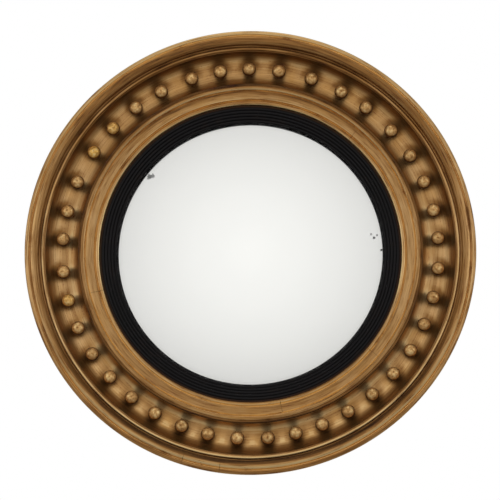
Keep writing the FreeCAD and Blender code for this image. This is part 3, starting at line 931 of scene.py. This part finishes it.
    def dress(self, piece: Piece) -> None:
        """Gilds the ring, with glaze and painted shade in its cove walls and grooves, painted highlights
        where its table goes below 0, and painted shadow round the balls.
        """
        Gilding(
            name="toned_gold_leaf_outer_ring", glaze_and_painted_light=self.glaze_and_painted_light, shadow_attribute="ball_shadow_and_glaze", calm_radius=225.0,
            cracks=(Crack(252.3, 235.0, 250.0), Crack(262.1, 238.0, 250.0)),
        ).on(piece)


@dataclass
class InnerMoulding:
    """The ring next to the slip: bead, broad band and astragal."""

    lip: float = 167.8
    lip_level: float = 33.206
    bead: float = 4.6
    bead_tilt: float = 0.8
    bead_rise: float = 2.2
    groove: float = 1.6
    groove_depth: float = 1.0
    band: float = 8.7
    band_step: float = 2.2
    band_rise: float = 2.2
    band_groove: float = 1.2
    astragal: float = 5.5
    astragal_rise: float = 2.6
    outer: float = 191.4
    bore: float = 173.0
    flange_level: float = 24.0
    joint_level: float = 18.0
    ease: float = 0.2
    # Glaze and painted shade by radius at the top, sides and foot; below 0 a painted highlight.
    glaze_and_painted_light: tuple[tuple[float, float, float, float], ...] = (
        (167.8, -0.25, -0.25, 0.52), (169.0, -0.1, -0.18, 0.3), (170.0, 0.3, 0.07, 0.15),
        (171.0, 0.12, -0.06, -0.12), (172.4, -0.08, -0.2, -0.25), (173.2, -0.12, -0.13, -0.22),
        (174.0, -0.12, 0.02, 0.05), (175.2, -0.02, 0.08, 0.27), (176.5, 0.03, 0.04, 0.2),
        (178.5, 0.22, 0.05, 0.26), (180.5, 0.36, 0.07, 0.23), (181.7, 0.6, 0.08, 0.22),
        (182.6, 0.4, 0.0, 0.0), (183.6, -0.2, -0.2, -0.25), (185.0, -0.15, 0.0, 0.03),
        (186.0, 0.13, 0.25, 0.25), (187.2, 0.46, 0.24, 0.15), (188.3, 0.54, 0.14, -0.08),
        (189.3, 0.6, 0.32, -0.02), (190.2, 0.73, 0.65, 0.7), (191.4, 0.73, 0.67, 0.66),
    )

    def build(self) -> Piece:
        """Turns the ring.

        Returns:
            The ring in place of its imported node.
        """
        bead = self.lip + self.bead
        band_inner = bead + self.groove
        band_outer = band_inner + self.band
        astragal = band_outer + self.band_groove
        bead_level = self.lip_level + self.bead_tilt
        band_level = bead_level + self.band_step
        top = band_level + self.band_rise
        shape = Profile(self.lip, self.flange_level)
        shape.line(self.lip, self.lip_level)
        shape.bow(bead, bead_level, self.bead_rise, 14)
        shape.line(bead + self.groove / 2, bead_level - self.groove_depth / 2)
        shape.line(band_inner, band_level)
        shape.line(band_outer, top)
        shape.line(band_outer + self.band_groove / 2, top - self.groove_depth)
        shape.line(astragal, top)
        shape.bow(astragal + self.astragal, top, self.astragal_rise, 14)
        shape.line(self.outer, top)
        shape.line(self.outer, self.joint_level)
        shape.line(self.bore, self.joint_level)
        shape.line(self.bore, self.flange_level)
        shape.close().ease(self.ease)
        return finish_piece(shape.turn(), "gilt_inner_ring", Slot.GILDING, "inner_moulding")

    def dress(self, piece: Piece) -> None:
        """Gilds the ring, with glaze and painted shade in its grooves, and painted highlights where its
        table goes below 0.
        """
        Gilding(
            name="toned_gold_leaf_inner_ring", glaze_and_painted_light=self.glaze_and_painted_light,
            cracks=tuple(Crack(angle, 168.0, 183.0) for angle in (194.5, 281.1, 320.1, 49.2)),
        ).on(piece)


@dataclass
class ReededSlip:
    """The ebonised slip: five reeds on a face that steepens towards the glass, and a sunk outer fillet."""

    sight: float = 148.1
    width: float = 19.4
    sight_edge: float = 0.4
    sight_level: float = 28.992
    fillet: float = 2.0
    fillet_depth: float = 0.6
    reeds: int = 5
    reed_rise: float = 1.15
    inner_slope: float = 20.0
    outer_slope: float = 4.0
    lip_back: float = 27.992
    rebate: float = 153.0
    rebate_level: float = 26.795
    back_level: float = 15.0
    flange: float = 172.7
    flange_level: float = 24.0
    ease: float = 0.12

    def build(self) -> Piece:
        """Turns the slip.

        Returns:
            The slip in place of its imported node.
        """
        inner, outer = math.radians(self.inner_slope), math.radians(self.outer_slope)
        reeded = self.width - self.sight_edge - self.fillet
        curve = reeded / (math.sin(inner) - math.sin(outer))
        shape = Profile(self.sight, self.lip_back)
        shape.line(self.sight, self.sight_level)
        shape.line(self.sight + self.sight_edge, self.sight_level)
        for i in range(1, self.reeds + 1):
            slope = inner + (outer - inner) * i / self.reeds
            across = curve * (math.sin(inner) - math.sin(slope))
            up = curve * (math.cos(slope) - math.cos(inner))
            shape.bow(self.sight + self.sight_edge + across, self.sight_level + up, self.reed_rise, 10)
        edge = self.sight + self.width
        edge_level = self.sight_level + up - self.fillet_depth
        shape.line(edge - self.fillet, edge_level)
        shape.line(edge, edge_level)
        shape.line(edge, self.flange_level)
        shape.line(self.flange, self.flange_level)
        shape.line(self.flange, self.back_level)
        shape.line(self.rebate, self.back_level)
        shape.line(self.rebate, self.rebate_level)
        shape.close().ease(self.ease)
        return finish_piece(shape.turn(), "ebonised_reeded_slip", Slot.EBONISED, "reeded_slip")

    def dress(self, piece: Piece) -> None:
        """Stains and polishes the slip."""
        Ebonised().on(piece)


@dataclass
class GiltBalls:
    """Thirty-nine turned balls, set out by hand round the cove, each a little different."""

    count: int = 39
    diameter: float = 15.6
    flat: float = 0.8
    phase: float = 7.06
    drift: float = 3.0
    shifts: tuple[float, ...] = (
        0.1, -0.4, -0.4, -0.7, -0.4, 0.6, 0.1, 0.5, 1.1, 0.6, -0.2, -0.8, -0.3,
        -0.7, -0.8, -0.9, 0.2, 0.3, -0.3, 0.5, 0.3, 0.2, 0.2, 0.1, 0.3, 0.0,
        0.2, -0.3, -0.1, 0.4, 0.2, -0.1, -0.1, 0.1, 0.2, 0.1, 0.2, -0.1, -0.1,
    )
    ring_radius: float = 208.6
    floor_level: float = 27.0
    centre_depth: float = 0.35
    out_of_round: float = 0.025
    lean: float = 6.0
    bright: dict[int, float] = field(default_factory=lambda: {14: 1.0, 15: 1.0, 20: 0.8, 17: 0.4})

    def angle(self, index: int) -> float:
        """Angle of a ball round the cove, in radians."""
        even = math.radians(360.0 * index / self.count)
        return math.radians(self.phase - self.drift * math.cos(even) + self.shifts[index]) + even

    def build(self) -> Piece:
        """Turns the balls and sets them on the cove's floor.

        Returns:
            All the balls as one piece.
        """
        rng = random.Random(39)
        balls = bmesh.new()
        one = bpy.data.meshes.new("one_ball")
        for index in range(self.count):
            ball = self.turn_ball(rng, index)
            ball.to_mesh(one)
            ball.free()
            balls.from_mesh(one)
        bpy.data.meshes.remove(one)
        return finish_piece(balls, "gilt_turned_balls", Slot.GILDING, "gilt_balls")

    def turn_ball(self, rng: random.Random, index: int) -> Mesh:
        """Turns one ball, cuts its flat and sets it in the cove.

        Args:
            rng: gives the small differences between balls.
            index: the ball's number, anticlockwise from the right as seen in front.

        Returns:
            The ball in its place.
        """
        ball = bmesh.new()
        tone = ball.faces.layers.float.new("ball_tone")
        mark = ball.verts.layers.float.new("centre_reflection_mark")
        radius = self.diameter / 2
        bmesh.ops.create_uvsphere(ball, u_segments=40, v_segments=24, radius=mm(radius))
        # The pole that faces front keeps the small sunk mark of the lathe's centre; the darkening that the
        # finish puts there is a painted dark reflection.
        pole = max(ball.verts, key=lambda v: v.co.z)
        pole.co.z -= mm(self.centre_depth)
        pole[mark] = rng.uniform(0.5, 1.0)
        for edge in pole.link_edges:
            edge.other_vert(pole)[mark] = rng.uniform(0.0, 0.7) * pole[mark]
        squeeze = [1 - self.out_of_round * rng.random() for _ in range(3)]
        bmesh.ops.scale(ball, verts=ball.verts, vec=squeeze)
        tip = math.pi / 2 + math.radians(rng.uniform(-self.lean, self.lean))
        bmesh.ops.rotate(ball, verts=ball.verts, cent=(0, 0, 0), matrix=Matrix.Rotation(tip, 3, "X"))
        bmesh.ops.bisect_plane(
            ball, geom=ball.verts[:] + ball.edges[:] + ball.faces[:],
            plane_co=(0, mm(radius - self.flat), 0), plane_no=(0, 1, 0), clear_outer=True,
        )
        bmesh.ops.holes_fill(ball, edges=[e for e in ball.edges if e.is_boundary])
        bmesh.ops.recalc_face_normals(ball, faces=ball.faces)
        angle = self.angle(index)
        x, z = self.ring_radius * math.cos(angle), self.ring_radius * math.sin(angle)
        level = self.floor_level + radius - self.flat
        bmesh.ops.translate(ball, verts=ball.verts, vec=(mm(x), -mm(level), mm(z)))
        grade = rng.uniform(-0.35, 0.25) + self.bright.get(index, 0.0)
        for face in ball.faces:
            face[tone] = grade
        return ball

    def dress(self, piece: Piece) -> None:
        """Gilds the balls, some of them yellower where they were regilded."""
        BallGilding().on(piece)


@dataclass
class ConvexPlate:
    """The bowed glass plate and the silvering on its back."""

    radius: float = 152.4
    curvature: float = 560.0
    thickness: float = 2.4
    centre_level: float = -512.269
    silver_gap: float = 0.05
    silver_thickness: float = 0.4
    silver_margin: float = 1.0
    bow_steps: int = 40
    round_steps: int = 256

    def shell(self, front: float, back: float, rim: float) -> Mesh:
        """Turns a shell between two spheres.

        Args:
            front: radius of the front sphere.
            back: radius of the back sphere.
            rim: radius of the shell's round edge.

        Returns:
            The closed shell.
        """
        def level(sphere: float, radius: float) -> float:
            return self.centre_level + math.sqrt(sphere ** 2 - radius ** 2)

        def rise(sphere: float) -> float:
            sweep = math.asin(rim / sphere)
            return sphere * (1 - math.cos(sweep / 2))

        shape = Profile(0.0, level(front, 0.0))
        shape.bow(rim, level(front, rim), rise(front), self.bow_steps)
        shape.line(rim, level(back, rim))
        shape.bow(0.0, level(back, 0.0), -rise(back), self.bow_steps)
        return shape.turn(self.round_steps)

    def build(self) -> tuple[Piece, Piece]:
        """Bends the plate and lays the silver on its back.

        Returns:
            The glass and the silver.
        """
        back = self.curvature - self.thickness
        pane = self.shell(self.curvature, back, self.radius)
        edge = self.radius - self.silver_margin
        film = self.shell(back - self.silver_gap, back - self.silver_thickness, edge)
        return (
            finish_piece(pane, "bowed_glass", Slot.PLATE, "convex_plate"),
            finish_piece(film, "mirror_silvering", Slot.SILVER, "silvering"),
        )

    def dress(self, glass: Piece, silver: Piece) -> None:
        """Gives the plate its glass and its worn silver."""
        PlateGlass().on(glass)
        Silvering(losses=(
            Loss(142.2, 142.65, 2.6, 0.75), Loss(141.1, 139.8, 2.0, 0.6), Loss(8.86, 135.6, 1.2, 0.5),
            Loss(7.07, 138.3, 1.5, 0.9), Loss(8.11, 142.1, 1.0, 0.6), Loss(1.5, 145.6, 1.4, 0.9),
        )).on(silver)


PLANKS = ("lower", "middle", "upper")
FIXINGS = {
    "backboard_screws": "board_wood_screws",
    "hanger_screws": "hanger_wood_screws",
    "slip_brads": "fine_brads",
}


@dataclass
class BackJoinery:
    """The felloes of the back layer, the backboard, the packers and their fixings."""

    felloes: int = 8
    felloe_phase: float = 8.0
    ease: float = 0.5
    fine_ease: float = 0.15

    def build(self) -> dict[str, Piece]:
        """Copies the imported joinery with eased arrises.

        Returns:
            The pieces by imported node.
        """
        pieces = {}
        for i in range(self.felloes):
            node = "back_felloe_%d" % (i + 1)
            felloe = eased_copy(node, self.ease)
            pieces[node] = finish_piece(felloe, "sawn_felloe_%d" % (i + 1), Slot.BARE_PINE, node)
        for end in PLANKS:
            node = "backboard_plank_" + end
            plank = eased_copy(node, self.ease)
            pieces[node] = finish_piece(plank, "backboard_" + end, Slot.BACKBOARD, node)
        node = "plate_packers"
        packers = eased_copy(node, self.fine_ease)
        pieces[node] = finish_piece(packers, "whittled_packers", Slot.BARE_PINE, node)
        for node, name in FIXINGS.items():
            pieces[node] = finish_piece(eased_copy(node, 0.0), name, Slot.STEEL, node)
        return pieces

    def dress(self, pieces: dict[str, Piece]) -> None:
        """Ages the wood and dulls the steel."""
        sweep = 2 * math.pi / self.felloes
        for i in range(self.felloes):
            middle = math.radians(self.felloe_phase) + sweep * (i + 0.5)
            wood = Pine(
                name="sawn_pine_felloe_%d" % (i + 1), turn=middle - math.pi / 2, seed=0.37 * i,
                painted_side=True,
            )
            wood.on(pieces["back_felloe_%d" % (i + 1)])
        for i, end in enumerate(PLANKS):
            wood = Pine(
                name="backboard_pine_" + end, early="A98459", late="74502F", grime="55402F",
                seed=0.53 + 0.29 * i, ring_spacing=5.5,
            )
            wood.on(pieces["backboard_plank_" + end])
        Pine(name="split_pine_packers", seed=1.7).on(pieces["plate_packers"])
        steel = DullMetal("rusted_steel_screws", bright="8A8782", dark="3E2F27", polish=0.38, tarnish=0.62)
        for node in FIXINGS:
            steel.on(pieces[node])


@dataclass
class Hanger:
    """A strap hanger and the D-shaped ring that swings in its roll."""

    side: str
    body: Body
    ease: float = 0.18

    def build(self) -> tuple[Piece, Piece]:
        """Copies the strap with eased arrises, and the ring.

        Returns:
            The strap and the ring.
        """
        node = "hanger_strap_" + self.side
        strap = finish_piece(eased_copy(node, self.ease), "brass_strap_" + self.side, Slot.BRASS, node)
        node = "hanging_ring_" + self.side
        wire = eased_copy(node, 0.0)
        ring = finish_piece(wire, "brass_ring_" + self.side, Slot.BRASS, node, body=self.body)
        return strap, ring

    def dress(self, strap: Piece, ring: Piece) -> None:
        """Tarnishes the brass."""
        DullMetal(name="tarnished_sheet_brass").on(strap)
        DullMetal(name="rubbed_brass_wire", polish=0.26, tarnish=0.35).on(ring)


# ---------------------------------------------------------------- the studio


@dataclass
class Studio:
    """A pale floor, a soft even light, and the camera at the photograph's angle, a little below."""

    azimuth: float = 1.0
    elevation: float = -10.8
    distance: float = 4000.0
    aim: tuple[float, float, float] = (-0.67, -20.0, 5.34)
    lens: float = 258.57
    sensor: float = 36.0
    clip: tuple[float, float] = (0.05, 60.0)
    floor_drop: float = 1450.0
    floor_size: float = 12.0
    soft_level: float = 0.75
    fall_off: tuple[tuple[float, float], ...] = (
        (0.0, 0.75), (0.213, 0.65), (0.329, 0.5), (0.413, 0.45), (0.5, 0.4), (0.629, 0.4), (0.75, 0.47),
        (0.8536, 0.58), (0.9045, 0.68), (0.9394, 0.8), (0.9486, 0.83), (0.9616, 0.87), (0.9753, 0.905),
        (0.9862, 0.945), (0.9938, 0.963), (0.9985, 0.98), (1.0, 1.0),
    )

    def aim_along(self, thing: Piece, way: Vector) -> None:
        """Turns a camera or a lamp to look along a direction."""
        thing.rotation_mode = "QUATERNION"
        thing.rotation_quaternion = way.to_track_quat("-Z", "Y")

    def camera(self) -> None:
        """Sets up the camera."""
        data = bpy.data.cameras.new("camera")
        data.lens = self.lens
        data.sensor_width = self.sensor
        data.clip_start, data.clip_end = self.clip
        camera = put_in_scene("camera", data)
        a, e = math.radians(self.azimuth), math.radians(self.elevation)
        back = Vector((math.sin(a) * math.cos(e), -math.cos(a) * math.cos(e), math.sin(e)))
        camera.location = (Vector(self.aim) + back * self.distance) * mm(1.0)
        self.aim_along(camera, -back)
        bpy.context.scene.camera = camera

    def floor(self) -> None:
        """Lays the pale floor under the wall that the mirror hangs on."""
        mesh = bmesh.new()
        bmesh.ops.create_grid(mesh, x_segments=1, y_segments=1, size=self.floor_size)
        bmesh.ops.translate(mesh, verts=mesh.verts, vec=(0, 0, -mm(self.floor_drop)))
        data = bpy.data.meshes.new("floor")
        mesh.to_mesh(data)
        mesh.free()
        floor = put_in_scene("floor", data)
        made = bpy.data.materials.new("pale_studio_floor")
        made.use_nodes = True
        graph = Graph(made.node_tree)
        grain = graph.add("ShaderNodeTexNoise", {"Scale": 30.0, "Detail": 3.0})
        graph.set("Base Color", graph.mix(grain, "EFEDEA", "F6F5F3"))
        graph.set("Roughness", 0.7)
        # The plate shows the floor as part of the same white sweep.
        place = graph.add("ShaderNodeTexCoord").outputs["Object"]
        way = graph.add("ShaderNodeVectorMath", {0: place}, operation="NORMALIZE")
        glow = graph.add("ShaderNodeEmission", {"Color": self.sweep(graph, way), "Strength": 1.0})
        both = graph.add("ShaderNodeMixShader", {0: self.turned_ray(graph), 1: graph.surface, 2: glow})
        graph.put(graph.tree.nodes["Material Output"].inputs["Surface"], both)
        floor.data.materials.append(made)
        floor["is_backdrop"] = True

    def turned_ray(self, graph: Graph) -> Socket:
        """1 for a ray that a mirror or a glass has turned, and 0 for any other."""
        path = graph.add("ShaderNodeLightPath").outputs
        return graph.math("MAXIMUM", path["Is Glossy Ray"], path["Is Transmission Ray"])

    def sweep(self, graph: Graph, way: Value) -> Socket:
        """Brightness of the white sweep: most in front of the mirror, and less to its sides and behind.

        Args:
            graph: the graph that takes the nodes.
            way: the direction from the mirror.

        Returns:
            The sweep's colour.
        """
        a, e = math.radians(-self.azimuth), math.radians(-self.elevation)
        front = (math.sin(a) * math.cos(e), -math.cos(a) * math.cos(e), math.sin(e))
        return graph.ramp(graph.span(graph.dot(way, front), -1.0, 1.0, 0.0, 1.0), self.fall_off)

    def world(self) -> None:
        """Makes a white sweep that is brightest in front of the mirror and falls away to its sides."""
        world = bpy.data.worlds.new("studio_sweep")
        bpy.context.scene.world = world
        world.use_nodes = True
        world.node_tree.nodes.clear()
        graph = Graph(world.node_tree)
        way = graph.add("ShaderNodeTexCoord").outputs["Generated"]
        soft = (self.soft_level, self.soft_level, self.soft_level, 1.0)
        lit = graph.mix(self.turned_ray(graph), soft, self.sweep(graph, way))
        seen = graph.add("ShaderNodeLightPath").outputs["Is Camera Ray"]
        colour = graph.mix(seen, lit, (1.0, 1.0, 1.0, 1.0))
        background = graph.add("ShaderNodeBackground", {"Color": colour, "Strength": 1.0})
        graph.add("ShaderNodeOutputWorld", {"Surface": background})

    def lamp(self, name: str, place: tuple[float, float, float], size: float, power: float) -> None:
        """Hangs a square soft lamp aimed at the mirror.

        Args:
            name: the lamp's name.
            place: where it hangs, in metres.
            size: its side, in metres.
            power: its power in watts.
        """
        data = bpy.data.lights.new(name, "AREA")
        data.size = size
        data.energy = power
        lamp = put_in_scene(name, data)
        lamp.location = place
        self.aim_along(lamp, -Vector(place))

    def build(self) -> None:
        """Sets up the whole studio."""
        bpy.context.scene.view_settings.view_transform = "Standard"
        self.camera()
        self.floor()
        self.world()
        self.lamp("lamp_above", (0.0, -0.75, 2.1), 1.0, 3.0)
        self.lamp("lamp_left", (-2.3, -1.3, 0.4), 1.1, 4.0)
        self.lamp("lamp_right", (2.3, -1.3, 0.4), 1.1, 4.0)


def corners() -> list[list[float]]:
    """Lowest and highest corner of the shown object, as plain numbers."""
    return [[float(value) for value in corner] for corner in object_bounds()]


def main() -> None:
    """Builds and dresses every sub-assembly and sets up the studio."""
    logging.basicConfig(level=logging.INFO, format="%(message)s")
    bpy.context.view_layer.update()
    for part in (OuterMoulding(), InnerMoulding(), ReededSlip(), GiltBalls()):
        part.dress(part.build())
    plate = ConvexPlate()
    plate.dress(*plate.build())
    back = BackJoinery()
    back.dress(back.build())
    for hanger in (Hanger("left", Body.LEFT_RING), Hanger("right", Body.RIGHT_RING)):
        hanger.dress(*hanger.build())
    Studio().build()


if __name__ == "__main__":
    main()
